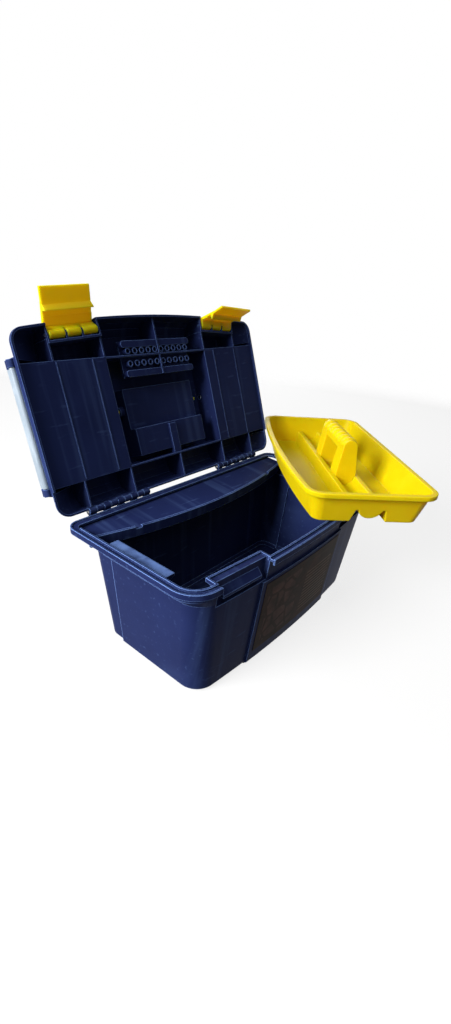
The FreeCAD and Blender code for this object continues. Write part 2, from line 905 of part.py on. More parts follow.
def carry_handle():
    """Bail handle lying in its recess, with the grip towards the hinge."""
    grip_y = handle_axis_y + handle_reach
    arm_outer = handle_half
    arm_inner = handle_half - handle_arm_width
    arm = block(
        arm_inner, arm_outer, handle_axis_y, grip_y,
        handle_axis_z - handle_arm_height / 2, handle_axis_z + handle_arm_height / 2,
    )
    eye = rod_x(arm_inner, arm_outer, handle_axis_y, handle_axis_z, handle_eye_radius)
    corner = rod_x(arm_inner, arm_outer, grip_y, handle_axis_z, handle_grip_radius)
    axle = rod_x(arm_outer, arm_outer + handle_axle_reach, handle_axis_y, handle_axis_z, handle_axle_radius)
    end = Vector(arm_inner, grip_y, handle_axis_z)
    neck = Part.makeCone(handle_grip_radius, handle_grip_neck, arm_inner, end, Vector(-1, 0, 0))
    side = merge([arm, eye, corner, axle, neck])
    return merge(both_sides(side))


def bit_rack(face_y, direction, width):
    """Row of bit tubes and a bar on a base strip, against a face of the front cross rib."""
    far_y = face_y + direction * width
    low = rib_edge + rack_drop
    base_low = rack_base_top()
    base_high = base_low + rack_base
    base = block(-rack_half, rack_half, min(face_y, far_y), max(face_y, far_y), base_low, base_high)
    bar_y = far_y - direction * rack_bar_width
    bar = block(-rack_half, rack_half, min(bar_y, far_y), max(bar_y, far_y), low, base_high)
    uprights = [edge for edge in bar.Edges if abs(edge.tangentAt(edge.FirstParameter).z) > edge_lean_share]
    pieces = [base, bar.makeFillet(rack_bar_round, uprights)]
    tube_y = (face_y + direction * rack_tube_margin + bar_y) / 2
    places = [bit_pitch * (index - (bit_count - 1) / 2) for index in range(bit_count)]
    pieces += [rod_z(low, base_high, x, tube_y, rack_tube_radius) for x in places]
    rack = merge(pieces)
    for x in places:
        rack = rack.cut(rod_z(low - overrun, low + bit_depth, x, tube_y, bit_radius))
    slit_half = rib_thickness / 2 + rack_slit
    slit = block(-slit_half, slit_half, min(face_y, far_y), max(face_y, far_y), low - overrun, base_low)
    return rack.cut(slit)


def tray_plan(inset, corner, z):
    """Plan of the tray, bowed along its front, drawn in by an inset."""
    half = tray_length / 2
    side = tray_width / 2
    bow = (half ** 2 + tray_bow ** 2) / (2 * tray_bow)
    return outline(half - inset, -side - tray_bow + inset, side - inset, corner, corner, bow - inset, z)


def tray_pan(inset, floor, top):
    """Tapered pan from a floor to the rim, and straight on to a height above it."""
    corner = tray_corner - inset + tray_flange
    plans = [
        tray_plan(inset + tray_taper, corner - tray_taper / 2, floor),
        tray_plan(inset, corner, tray_height),
        tray_plan(inset, corner, top),
    ]
    return loft(plans)


def tray_channel_axis():
    """Height of the axis of the middle trough's round bottom."""
    return tray_height - tray_channel_drop + tray_wall + tray_channel_half


def tray_channel(grow):
    """Middle trough with a round bottom, grown by a wall."""
    reach = tray_length / 2
    radius = tray_channel_half + grow
    axis_z = tray_channel_axis()
    round_bottom = rod_x(-reach, reach, 0, axis_z, radius)
    sides = block(-reach, reach, -radius, radius, axis_z, tray_height)
    return merge([round_bottom, sides])


def tray_ridges(grow):
    """Hollow ridges on both sides of the middle trough, grown by a wall."""
    reach = tray_length / 2
    top = tray_height - tray_divider_drop - tray_wall + grow
    points = [
        (-tray_divider_foot - grow, -overrun),
        (-tray_divider_foot - grow, 0),
        (-tray_divider_top - grow, top),
        (tray_divider_top + grow, top),
        (tray_divider_foot + grow, 0),
        (tray_divider_foot + grow, -overrun),
    ]
    return profile_x(points, -reach, reach)


def grip_ridge(x, axis_z):
    """Ring-shaped finger ridge over the round top of the grip."""
    low = tray_grip_width / 2 - tray_ridge_sink
    high = tray_grip_width / 2 + tray_ridge_height
    crest = tray_ridge_crest / 2
    rings = [rod_x(x - crest, x + crest, 0, axis_z, high)]
    for side in (-1, 1):
        rings.append(Part.makeCone(
            high, low, tray_ridge_slope, Vector(x + side * crest, 0, axis_z), Vector(side, 0, 0)
        ))
    reach = crest + tray_ridge_slope
    return merge(rings).common(block(x - reach, x + reach, -high, high, axis_z, axis_z + high))


def tray_grip():
    """Round-topped grip with ridges on two posts that fill the middle trough and taper upwards."""
    top = tray_height + tray_grip_rise
    half_width = tray_grip_width / 2
    axis_z = top - half_width
    low_z = top - tray_grip_height
    pieces = [
        rod_x(-tray_grip_half, tray_grip_half, 0, axis_z, half_width),
        block(-tray_grip_half, tray_grip_half, -half_width, half_width, low_z, axis_z),
    ]
    first = -tray_ridge_pitch * (tray_ridge_count - 1) / 2
    for index in range(tray_ridge_count):
        pieces.append(grip_ridge(first + index * tray_ridge_pitch, axis_z))
    foot_z = tray_height - tray_channel_drop + tray_wall / 2
    wide = tray_channel_half + tray_wall / 2
    for side in (-1, 1):
        outer = side * tray_grip_half
        inner = side * (tray_grip_half - tray_post_length)
        points = [
            (-tray_post_foot, foot_z),
            (tray_post_foot, foot_z),
            (wide, tray_channel_axis()),
            (half_width, axis_z),
            (-half_width, axis_z),
            (-wide, tray_channel_axis()),
        ]
        pieces.append(profile_x(points, min(inner, outer), max(inner, outer)))
    return pieces


def tray():
    """Tray standing level on two sides of the rim, across the right-hand front corner."""
    low_flange = tray_height - tray_flange_thickness
    low_skirt = tray_height - tray_skirt
    rim = tray_corner + tray_flange
    flange = loft([tray_plan(0, rim, low_flange), tray_plan(0, rim, tray_height)])
    skirt = loft([tray_plan(0, rim, low_skirt), tray_plan(0, rim, low_flange)])
    skirt_room = loft([
        tray_plan(tray_wall, rim - tray_wall, low_skirt),
        tray_plan(tray_wall, rim - tray_wall, low_flange),
    ])
    pan = loft([
        tray_plan(tray_flange + tray_taper, tray_corner - tray_taper / 2, 0),
        tray_plan(tray_flange, tray_corner, tray_height),
    ])
    under = tray_ridges(0).cut(tray_channel(tray_wall))
    ridges = tray_ridges(tray_wall).cut(tray_channel(0))
    inside = tray_pan(tray_flange + tray_wall, tray_wall, tray_height + overrun).cut(ridges)
    body = merge([pan, flange, skirt.cut(skirt_room)]).cut(inside)
    body = body.cut(under)
    body = merge([body] + tray_grip())
    body.rotate(Vector(0, 0, 0), Vector(0, 0, 1), tray_turn + math.degrees(math.pi))
    body.translate(Vector(tray_x, tray_y, tray_rest_z))
    return body


def front_label():
    """Thin sheet on the front panel."""
    under = pad_thickness + panel_thickness + label_gap
    sheet = tub(under + label_thickness, 0, wall_top).cut(tub(under, 0, wall_top))
    return sheet.common(block(-label_half, label_half, rim_front - overrun, 0, label_bottom, label_top))


def turned(shape, y, z, angle):
    """Copy of a shape turned about an axis along X."""
    copy = shape.copy()
    copy.rotate(Vector(0, y, z), Vector(1, 0, 0), angle)
    return copy


def opened(shape):
    """Copy of a lid piece with the lid swung open to its stop."""
    return turned(shape, hinge_y, hinge_z, -open_angle)


def save(name, shape):
    """Write one piece as a STEP file."""
    solids = shape.Solids
    result = solids[0] if len(solids) == 1 else shape
    print(name, "solids", len(solids), "valid", shape.isValid(), "volume", round(shape.Volume))
    result.exportStep(os.path.join("parts", name + ".step"))


def main():
    """Build every piece in the pose of the open box."""
    os.makedirs("parts", exist_ok=True)
    save("case_body", case_body())
    save("front_label", front_label())
    hinge_pin = rod_x(hinge_inner, hinge_outer, hinge_y, hinge_z, hinge_pin_radius)
    save("hinge_pin_right", hinge_pin)
    save("hinge_pin_left", mirrored(hinge_pin))
    save("lid_shell", opened(lid_shell()))
    hanging = turned(carry_handle(), handle_axis_y, handle_axis_z, hang_angle)
    save("carry_handle", opened(hanging))
    save("bit_rack_front", opened(bit_rack(organiser_front - rib_thickness, -1, rack_front_width)))
    save("bit_rack_rear", opened(bit_rack(organiser_front, 1, rack_rear_width)))
    cover = organiser_cover()
    save("organiser_cover_right", opened(cover))
    save("organiser_cover_left", opened(mirrored(cover)))
    pin = toed(latch_rod(latch_pin_radius))
    save("latch_pin_right", opened(pin))
    save("latch_pin_left", opened(mirrored(pin)))
    hook = latch()
    swung = toed(turned(hook, latch_axis_y, latch_axis_z, -right_latch_angle))
    save("latch_right", opened(swung))
    swung = toed(turned(hook, latch_axis_y, latch_axis_z, -left_latch_angle))
    save("latch_left", opened(mirrored(swung)))
    save("tray", tray())


main()
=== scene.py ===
"""Dressed model of an open plastic tool box with its lift-out tray set across the rim."""

import logging
import math
from dataclasses import dataclass, replace
from enum import Enum
from typing import Any, Mapping, Optional, Sequence, Union

import bmesh
import bpy
from mathutils import Matrix, Vector, kdtree


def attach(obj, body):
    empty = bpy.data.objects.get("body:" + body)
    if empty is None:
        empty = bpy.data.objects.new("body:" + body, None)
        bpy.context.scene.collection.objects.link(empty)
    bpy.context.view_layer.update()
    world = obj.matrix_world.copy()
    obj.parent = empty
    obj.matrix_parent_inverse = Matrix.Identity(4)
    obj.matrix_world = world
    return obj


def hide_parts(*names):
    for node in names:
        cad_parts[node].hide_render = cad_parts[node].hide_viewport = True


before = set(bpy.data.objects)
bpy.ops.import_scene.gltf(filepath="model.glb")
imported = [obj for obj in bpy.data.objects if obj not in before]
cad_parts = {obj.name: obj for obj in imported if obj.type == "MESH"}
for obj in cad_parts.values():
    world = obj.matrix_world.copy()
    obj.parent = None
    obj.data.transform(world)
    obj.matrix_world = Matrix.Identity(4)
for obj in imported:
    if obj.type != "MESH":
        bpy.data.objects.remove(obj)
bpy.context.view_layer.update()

LOG = logging.getLogger("tool_box")
Colour = tuple[float, float, float]
Place = tuple[float, float, float]
Span = tuple[float, float]
WHITE: Colour = (1.0, 1.0, 1.0)
QUAD_SIDES = 4


class Slot(Enum):
    """Material slots of the record."""

    NAVY = "navy_plastic"
    YELLOW = "yellow_plastic"
    CLEAR = "clear_plastic"
    LABEL = "label_film"
    PIN = "pin_steel"


class Body(Enum):
    """Rigid bodies that carry the rounded mouldings."""

    LATCH_LEFT = "latch_left"
    LATCH_RIGHT = "latch_right"
    HANDLE = "carry_handle"
    COVER_LEFT = "cover_left"
    COVER_RIGHT = "cover_right"
    TRAY = "tray"


class Wire:
    """An output socket whose value takes part in Python expressions."""

    MIDDLE = 0.5

    def __init__(self, graph: "Graph", socket: bpy.types.NodeSocket) -> None:
        """Keep the socket and the graph that it belongs to."""
        self.graph = graph
        self.socket = socket

    def _math(self, operation: str, first: "Value", second: "Value" = 0.0) -> "Wire":
        """Add a Math node for two values."""
        return self.graph.add("ShaderNodeMath", {"operation": operation}, {0: first, 1: second})

    def __add__(self, other: "Value") -> "Wire":
        """Sum."""
        return self._math("ADD", self, other)

    __radd__ = __add__

    def __sub__(self, other: "Value") -> "Wire":
        """Difference."""
        return self._math("SUBTRACT", self, other)

    def __rsub__(self, other: "Value") -> "Wire":
        """Difference from a number."""
        return self._math("SUBTRACT", other, self)

    def __mul__(self, other: "Value") -> "Wire":
        """Product."""
        return self._math("MULTIPLY", self, other)

    __rmul__ = __mul__

    def __truediv__(self, other: "Value") -> "Wire":
        """Quotient."""
        return self._math("DIVIDE", self, other)

    def __rtruediv__(self, other: "Value") -> "Wire":
        """Quotient of a number by this value."""
        return self._math("DIVIDE", other, self)

    def __abs__(self) -> "Wire":
        """Absolute value."""
        return self._math("ABSOLUTE", self)

    def larger(self, other: "Value") -> "Wire":
        """The greater of two values."""
        return self._math("MAXIMUM", self, other)

    def swing(self, share: float) -> "Wire":
        """A noise turned into a swing about zero, from minus to plus half the share."""
        return (self - self.MIDDLE) * share

    def step(self, low: float, high: float) -> "Wire":
        """Smooth step between two values.

        Args:
            low: Value that becomes 0.
            high: Value that becomes 1.

        Returns:
            The stepped value.
        """
        return self.graph.add(
            "ShaderNodeMapRange",
            {"interpolation_type": "SMOOTHSTEP"},
            {"Value": self, "From Min": low, "From Max": high},
        )


Value = Union[Wire, float, Sequence[float]]
Inputs = Mapping[Union[str, int], Value]


class Graph:
    """Node tree of a material or of the world, with its output."""

    MIX_FIRST = 6
    MIX_SECOND = 7
    MIX_RESULT = 2
    NORMAL_SAMPLES = 6
    EDGE_TURN: Span = (0.002, 0.045)
    OPEN_AIR: Span = (0.62, 0.88)

    def __init__(self, owner: Union[bpy.types.Material, bpy.types.World], output: str) -> None:
        """Empty the owner's tree and add its output.

        Args:
            owner: Material or world.
            output: Type of the output node.
        """
        owner.use_nodes = True
        self.owner = owner
        self.tree = owner.node_tree
        self.tree.nodes.clear()
        self.output = self.node(output, {}, {})

    @classmethod
    def of_material(cls, name: str) -> "Graph":
        """Graph of a new material."""
        return cls(bpy.data.materials.new(name), "ShaderNodeOutputMaterial")

    @classmethod
    def of_world(cls, name: str) -> "Graph":
        """Graph of a new world."""
        return cls(bpy.data.worlds.new(name), "ShaderNodeOutputWorld")

    def node(self, kind: str, settings: Mapping[str, Any], inputs: Inputs) -> bpy.types.Node:
        """Add a node, set its settings first and then its sockets.

        Args:
            kind: Node type.
            settings: Attributes of the node.
            inputs: Values or links by socket name or index.

        Returns:
            The new node.
        """
        made = self.tree.nodes.new(kind)
        for key, value in settings.items():
            setattr(made, key, value)
        for key, value in inputs.items():
            self.feed(made.inputs[key], value)
        return made

    def add(
        self,
        kind: str,
        settings: Optional[Mapping[str, Any]] = None,
        inputs: Optional[Inputs] = None,
        output: Union[str, int] = 0,
    ) -> Wire:
        """Add a node and take one of its outputs.

        Args:
            kind: Node type.
            settings: Attributes of the node.
            inputs: Values or links by socket name or index.
            output: Name or index of the output.

        Returns:
            The output as a wire.
        """
        made = self.node(kind, settings or {}, inputs or {})
        return Wire(self, made.outputs[output])

    def feed(self, socket: bpy.types.NodeSocket, value: Value) -> None:
        """Link a wire to a socket, or set the socket's own value.

        Args:
            socket: Input socket.
            value: Wire, number, vector or colour.
        """
        if isinstance(value, Wire):
            self.tree.links.new(value.socket, socket)
        elif isinstance(value, tuple) and len(value) < len(socket.default_value):
            socket.default_value = (*value, 1.0)
        else:
            socket.default_value = value

    def mix(self, factor: Value, first: Value, second: Value) -> Wire:
        """Blend two colours.

        Args:
            factor: Share of the second colour.
            first: Colour or wire.
            second: Colour or wire.

        Returns:
            The blended colour.
        """
        inputs = {0: factor, self.MIX_FIRST: first, self.MIX_SECOND: second}
        return self.add("ShaderNodeMix", {"data_type": "RGBA"}, inputs, self.MIX_RESULT)

    def place(self) -> Wire:
        """Coordinates on the piece, in metres of the shared frame."""
        return self.add("ShaderNodeTexCoord", output="Object")

    def parts(self, vector: Wire) -> tuple[Wire, ...]:
        """The three values of a vector."""
        made = self.node("ShaderNodeSeparateXYZ", {}, {0: vector})
        return tuple(Wire(self, socket) for socket in made.outputs)

    def stretched(self, scale: Place) -> Wire:
        """Coordinates on the piece, scaled along each axis."""
        inputs = {0: self.place(), 1: scale}
        return self.add("ShaderNodeVectorMath", {"operation": "MULTIPLY"}, inputs)

    def rounded(self, radius: float) -> Wire:
        """Normal that rolls over hard edges."""
        return self.add("ShaderNodeBevel", {"samples": self.NORMAL_SAMPLES}, {"Radius": radius})

    def open_air(self, reach: float) -> Wire:
        """Mask that is 1 on outer edges and faces, and 0 in inner corners.

        Args:
            reach: How far the neighbouring faces are looked for, in metres.

        Returns:
            The mask.
        """
        settings = {"samples": self.NORMAL_SAMPLES, "only_local": True}
        shade = self.add("ShaderNodeAmbientOcclusion", settings, {"Distance": reach}, "AO")
        return shade.step(*self.OPEN_AIR)

    def edges(self, radius: float) -> Wire:
        """Mask that is 1 on hard edges and fades to 0 away from them.

        Args:
            radius: Width of the mask on each side of an edge, in metres.

        Returns:
            The mask.
        """
        true = self.add("ShaderNodeNewGeometry", output="True Normal")
        inputs = {0: self.rounded(radius), 1: true}
        turn = self.add("ShaderNodeVectorMath", {"operation": "DOT_PRODUCT"}, inputs, "Value")
        return (1.0 - turn).step(*self.EDGE_TURN)

    def in_sight(self) -> Wire:
        """Mask that is 1 for what the camera sees, straight, in gloss or through clear plastic.

        Returns:
            The mask.
        """
        path = self.node("ShaderNodeLightPath", {}, {})
        camera, glossy, through = (
            Wire(self, path.outputs[f"Is {ray} Ray"]) for ray in ("Camera", "Glossy", "Transmission")
        )
        return camera.larger(glossy).larger(through)

    def bump(self, strength: float, height: float, field: Wire, normal: Optional[Wire] = None) -> Wire:
        """Normal of a relief.

        Args:
            strength: Share of the relief that is used.
            height: Height of the relief, in metres.
            field: Relief, from 0 to 1.
            normal: Normal that the relief stands on.

        Returns:
            The normal.
        """
        inputs: dict[Union[str, int], Value] = {"Strength": strength, "Distance": height, "Height": field}
        if normal:
            inputs["Normal"] = normal
        return self.add("ShaderNodeBump", {}, inputs)

    def principled(self, inputs: Inputs) -> Union[bpy.types.Material, bpy.types.World]:
        """Close the graph with a Principled shader."""
        return self.finish(self.add("ShaderNodeBsdfPrincipled", {}, inputs))

    def finish(self, shader: Wire) -> Union[bpy.types.Material, bpy.types.World]:
        """Join the shader to the output and return the material or world."""
        self.feed(self.output.inputs["Surface"], shader)
        return self.owner


@dataclass(frozen=True)
class Noise:
    """Noise over a piece.

    Attributes:
        scale: Cells for each metre.
        detail: Octaves of finer noise.
        stretch: Scale along each axis.
        band: Values that become 0 and 1.
    """

    scale: float
    detail: float
    stretch: Optional[Place] = None
    band: Optional[Span] = None

    def on(self, graph: Graph) -> Wire:
        """Add the noise to a graph.

        Args:
            graph: Graph of the finish.

        Returns:
            The noise, from 0 to 1.
        """
        vector = graph.stretched(self.stretch) if self.stretch else graph.place()
        inputs = {"Vector": vector, "Scale": self.scale, "Detail": self.detail}
        field = graph.add("ShaderNodeTexNoise", {"noise_dimensions": "3D"}, inputs)
        return field.step(*self.band) if self.band else field


@dataclass(frozen=True)
class HighlitRestingPlace:
    """Level strip at both ends of a piece that something slides on, painted lighter as a highlight and as
    wear; lengths in metres.

    Attributes:
        near: Distance of its inner side from the middle of the piece.
        far: Distance of its outer side from the middle of the piece.
        front: Its front end.
        back: Its rear end.
        level: Its height.
        share: Greatest painted highlight and wear on it.
        below: Depths under the level between which the painted highlight and wear set in.
        facing: Upward parts of the normal between which the painted highlight and wear set in.
        soft: Width over which the painted highlight and wear fade at its sides.
        patches: Uneven painted highlight and wear.
    """

    near: float
    far: float
    front: float
    back: float
    level: float
    share: float = 0.75
    below: Span = (-0.0012, -0.0006)
    facing: Span = (0.80, 0.95)
    soft: float = 0.0015
    patches: Noise = Noise(30.0, 4.0, band=(0.20, 0.65))

    def mask(self, graph: Graph) -> Wire:
        """Mask of the painted highlight and wear, greatest in the middle of the strip.

        Args:
            graph: Graph of the finish.

        Returns:
            The mask.
        """
        across, along, height = graph.parts(graph.place())
        upward = graph.parts(graph.add("ShaderNodeNewGeometry", output="Normal"))[2]
        across = abs(across)
        level = (height - self.level).step(*self.below) * upward.step(*self.facing)
        width = (across - self.near).step(0.0, self.soft) * (self.far - across).step(0.0, self.soft)
        length = (along - self.front).step(0.0, self.soft) * (self.back - along).step(0.0, self.soft)
        return level * width * length * self.share * self.patches.on(graph)


@dataclass(frozen=True)
class MouldedPlastic:
    """Injection-moulded plastic with a fine spark grain, flow marks, rubbed edges that also carry a
    painted highlight, and light scuffs.

    Attributes:
        name: Name of the material.
        colour: Usual colour.
        deep: Darker colour of its clouds.
        rubbed_and_highlight: Colour of worn edges and of the painted highlights on them, and of streaks
            and scuffs.
        roughness: Middle of the roughness.
        specular: Specular level.
        edge_rub_and_highlight: Greatest wear and painted highlight on the edges.
        streak: Strength of the upright streaks.
        subsurface: Share of light that goes through the skin.
        depth: How deep that light goes, in metres.
        scatter: How deep each colour of it goes, as a share of the depth.
        edge_radius: Width of the wear and painted highlight on the edges, in metres.
        air_reach: How close inner corners stay free of wear and painted highlight, in metres.
        highlit_resting_place: Strip that something slides on, painted lighter as a highlight and as wear.
    """

    name: str
    colour: Colour
    deep: Colour
    rubbed_and_highlight: Colour
    roughness: float
    specular: float
    edge_rub_and_highlight: float
    streak: float = 0.09
    subsurface: float = 0.0
    depth: float = 0.006
    scatter: Colour = (1.0, 0.55, 0.08)
    edge_radius: float = 0.0010
    air_reach: float = 0.004
    highlit_resting_place: Optional[HighlitRestingPlace] = None
    clouds: Noise = Noise(14.0, 4.0)
    flow_marks: Noise = Noise(9.0, 5.0, (0.35, 1.0, 2.2))
    spark_grain: Noise = Noise(2600.0, 2.0)
    scuffs: Noise = Noise(60.0, 6.0, (0.5, 3.0, 3.0), (0.61, 0.72))
    streaks: Noise = Noise(8.0, 4.0, (9.0, 0.5, 0.5), (0.52, 0.74))
    rub_and_highlight_patches: Noise = Noise(55.0, 4.0, band=(0.15, 0.45))
    cloud_share: float = 0.6
    flow_share: float = 0.4
    tone_band: Span = (0.25, 0.75)
    scuff_share: float = 0.10
    rough_grain: float = 0.10
    rough_scuff: float = 0.10
    rough_cloud: float = 0.12
    smooth_worn: float = 0.08
    relief: float = 0.5
    relief_height: float = 0.00006
    relief_grain: float = 0.7
    relief_flow: float = 0.9

    def material(self) -> bpy.types.Material:
        """Build the material.

        Returns:
            The new material.
        """
        graph = Graph.of_material(self.name)
        cloud = self.clouds.on(graph)
        flow = self.flow_marks.on(graph)
        grain = self.spark_grain.on(graph)
        scuff = self.scuffs.on(graph)
        # Mask of outer edges: paints a lighter highlight along them, together with their wear.
        worn_and_highlight = graph.edges(self.edge_radius) * graph.open_air(self.air_reach)
        worn_and_highlight = worn_and_highlight * self.rub_and_highlight_patches.on(graph) * self.edge_rub_and_highlight
        if self.highlit_resting_place:
            worn_and_highlight = worn_and_highlight.larger(self.highlit_resting_place.mask(graph))
        tone = (cloud * self.cloud_share + flow * self.flow_share).step(*self.tone_band)
        base = graph.mix(tone, self.deep, self.colour)
        base = graph.mix(self.streaks.on(graph) * self.streak, base, self.rubbed_and_highlight)
        base = graph.mix(scuff * self.scuff_share, base, self.rubbed_and_highlight)
        # Painted highlight and wear on the edges and on the resting place, in the rubbed colour.
        base = graph.mix(worn_and_highlight, base, self.rubbed_and_highlight)
        rough = self.roughness + grain.swing(self.rough_grain) + scuff * self.rough_scuff
        rough = rough + cloud.swing(self.rough_cloud) - worn_and_highlight * self.smooth_worn
        field = grain * self.relief_grain + flow * self.relief_flow
        normal = graph.bump(self.relief, self.relief_height, field, graph.rounded(self.edge_radius))
        return graph.principled(
            {
                "Base Color": base,
                "Roughness": rough,
                "Specular IOR Level": self.specular,
                "Normal": normal,
                "Subsurface Weight": self.subsurface,
                "Subsurface Radius": self.scatter,
                "Subsurface Scale": self.depth,
            }
        )


@dataclass(frozen=True)
class FrostedPlastic:
    """Clear plastic with a frosted skin and fine scratches.

    Attributes:
        name: Name of the material.
        colour: Usual colour.
        scratched: Colour of haze, scratches and edges.
        roughness: Middle of the roughness.
        clearness: Share of light that goes through.
        refraction: Index of refraction.
        edge_radius: Width of the pale edges, in metres.
    """

    name: str
    colour: Colour
    scratched: Colour
    roughness: float
    clearness: float = 0.35
    refraction: float = 1.46
    edge_radius: float = 0.0008
    haze: Noise = Noise(24.0, 4.0)
    scratches: Noise = Noise(110.0, 5.0, (6.0, 0.6, 0.6), (0.60, 0.70))
    frost: Noise = Noise(1800.0, 2.0)
    haze_band: Span = (0.3, 0.7)
    haze_share: float = 0.5
    scratch_share: float = 0.3
    edge_share: float = 0.6
    rough_haze: float = 0.2
    rough_scratch: float = 0.15
    rough_frost: float = 0.05
    relief: float = 0.4
    relief_height: float = 0.00005

    def material(self) -> bpy.types.Material:
        """Build the material.

        Returns:
            The new material.
        """
        graph = Graph.of_material(self.name)
        haze = self.haze.on(graph)
        scratch = self.scratches.on(graph)
        frost = self.frost.on(graph)
        pale = haze.step(*self.haze_band) * self.haze_share + scratch * self.scratch_share
        base = graph.mix(pale, self.colour, self.scratched)
        base = graph.mix(graph.edges(self.edge_radius) * self.edge_share, base, self.scratched)
        rough = self.roughness + haze.swing(self.rough_haze) + scratch * self.rough_scratch
        rough = rough + frost.swing(self.rough_frost)
        edge = graph.rounded(self.edge_radius)
        return graph.principled(
            {
                "Base Color": base,
                "Roughness": rough,
                "Normal": graph.bump(self.relief, self.relief_height, frost + scratch, edge),
                "Transmission Weight": self.clearness,
                "IOR": self.refraction,
            }
        )


@dataclass(frozen=True)
class DrawnSteel:
    """Drawn steel wire with lengthwise lines.

    Attributes:
        name: Name of the material.
        colour: Usual colour.
        dull: Colour of its stains.
        roughness: Middle of the roughness.
    """

    name: str
    colour: Colour
    dull: Colour
    roughness: float
    lines: Noise = Noise(900.0, 3.0, (0.05, 1.0, 1.0))
    stains: Noise = Noise(70.0, 4.0)
    stain_band: Span = (0.35, 0.7)
    stain_share: float = 0.7
    rough_lines: float = 0.2
    rough_stain: float = 0.2
    relief: float = 0.3
    relief_height: float = 0.00003

    def material(self) -> bpy.types.Material:
        """Build the material.

        Returns:
            The new material.
        """
        graph = Graph.of_material(self.name)
        lines = self.lines.on(graph)
        stain = self.stains.on(graph)
        base = graph.mix(stain.step(*self.stain_band) * self.stain_share, self.colour, self.dull)
        rough = self.roughness + lines.swing(self.rough_lines) + stain.swing(self.rough_stain)
        return graph.principled(
            {
                "Base Color": base,
                "Roughness": rough,
                "Metallic": 1.0,
                "Normal": graph.bump(self.relief, self.relief_height, lines),
            }
        )


@dataclass(frozen=True)
class PrintedLabel:
    """Dark printed film with a plain pattern: rounded plates on one half and bars on the other.

    Attributes:
        name: Name of the material.
        ground: Colour of the film.
        brown: Colour of the plates.
        pale: Colour of the bars and scratches.
        half_width: Half the width of the film, in metres.
        bottom: Height of its lower edge, in metres.
        top: Height of its upper edge, in metres.
        roughness: Middle of the roughness.
        specular: Specular level.
        margin: Half the width of the print, as a share of the film's.
        foot: Start of the print, as a share of the film's height.
        head: End of the print, as a share of the film's height.
        bars_head: End of the bars, as a share of the film's height.
        bars_start: Start of the bars, as a share of the film's half width.
        soft: Width over which the print fades at its sides.
    """

    name: str
    ground: Colour
    brown: Colour
    pale: Colour
    half_width: float
    bottom: float
    top: float
    roughness: float
    specular: float = 0.012
    margin: float = 0.9
    foot: float = 0.08
    head: float = 0.9
    bars_head: float = 0.76
    bars_start: float = 0.1
    soft: float = 0.02
    plates_half: Span = (0.08, 0.09)
    plate_scale: float = 46.0
    plate_flat: Place = (1.0, 0.0, 1.0)
    plate_gap: Span = (0.06, 0.10)
    bar_scale: float = 58.0
    bar_band: Span = (0.72, 0.86)
    bar_share: float = 0.30
    shades: Noise = Noise(34.0, 5.0)
    ground_band: Span = (0.3, 0.8)
    ground_share: float = 0.25
    plate_band: Span = (0.35, 0.65)
    plate_swing: float = 0.55
    plate_least: float = 0.10
    scratches: Noise = Noise(140.0, 5.0, (0.5, 1.0, 5.0), (0.6, 0.7))
    scratch_share: float = 0.12
    rough_scratch: float = 0.2
    rough_shade: float = 0.15
    ripples: Noise = Noise(45.0, 3.0)
    relief: float = 0.3
    relief_height: float = 0.00008
    relief_scratch: float = 0.3

    def material(self) -> bpy.types.Material:
        """Build the material.

        Returns:
            The new material.
        """
        graph = Graph.of_material(self.name)
        across, _, height = graph.parts(graph.place())
        across = across / self.half_width
        up = (height - self.bottom) / (self.top - self.bottom)
        left = (across * -1.0).step(*self.plates_half)
        inside = (self.margin - abs(across)).step(0.0, self.soft)
        inside = inside * (up - self.foot).step(0.0, self.soft) * (self.head - up).step(0.0, self.soft)
        shade = self.shades.on(graph)
        plates = self._plates(graph) * left * inside
        bars = self._bars(graph) * (1.0 - left) * inside * (across - self.bars_start).step(0.0, self.soft)
        bars = bars * (1.0 - (up - self.bars_head).step(0.0, self.soft) * inside)
        scratch = self.scratches.on(graph)
        base = graph.mix(shade.step(*self.ground_band) * self.ground_share, self.ground, self.brown)
        depth = shade.step(*self.plate_band) * self.plate_swing + self.plate_least
        base = graph.mix(plates * depth, base, self.brown)
        base = graph.mix(bars * self.bar_share, base, self.pale)
        base = graph.mix(scratch * self.scratch_share, base, self.pale)
        field = self.ripples.on(graph) + scratch * self.relief_scratch
        return graph.principled(
            {
                "Base Color": base,
                "Roughness": self.roughness + scratch * self.rough_scratch + shade.swing(self.rough_shade),
                "Normal": graph.bump(self.relief, self.relief_height, field),
                "Specular IOR Level": self.specular,
            }
        )

    def _plates(self, graph: Graph) -> Wire:
        """Mask of plates with gaps between them.

        Args:
            graph: Graph of the finish.

        Returns:
            The mask.
        """
        inputs = {"Vector": graph.stretched(self.plate_flat), "Scale": self.plate_scale}
        settings = {"feature": "DISTANCE_TO_EDGE"}
        return graph.add("ShaderNodeTexVoronoi", settings, inputs, "Distance").step(*self.plate_gap)

    def _bars(self, graph: Graph) -> Wire:
        """Mask of level bars.

        Args:
            graph: Graph of the finish.

        Returns:
            The mask.
        """
        inputs = {"Vector": graph.place(), "Scale": self.bar_scale}
        settings = {"wave_type": "BANDS", "bands_direction": "Z"}
        return graph.add("ShaderNodeTexWave", settings, inputs, "Fac").step(*self.bar_band)


# The light-blue rubbed colour paints highlights on the edges as well as their wear.
NAVY = MouldedPlastic(
    name="navy_moulding",
    colour=(0.0150, 0.0240, 0.0900),
    deep=(0.0105, 0.0165, 0.0650),
    rubbed_and_highlight=(0.1200, 0.2000, 0.4700),
    roughness=0.34,
    specular=0.012,
    edge_rub_and_highlight=0.9,
)
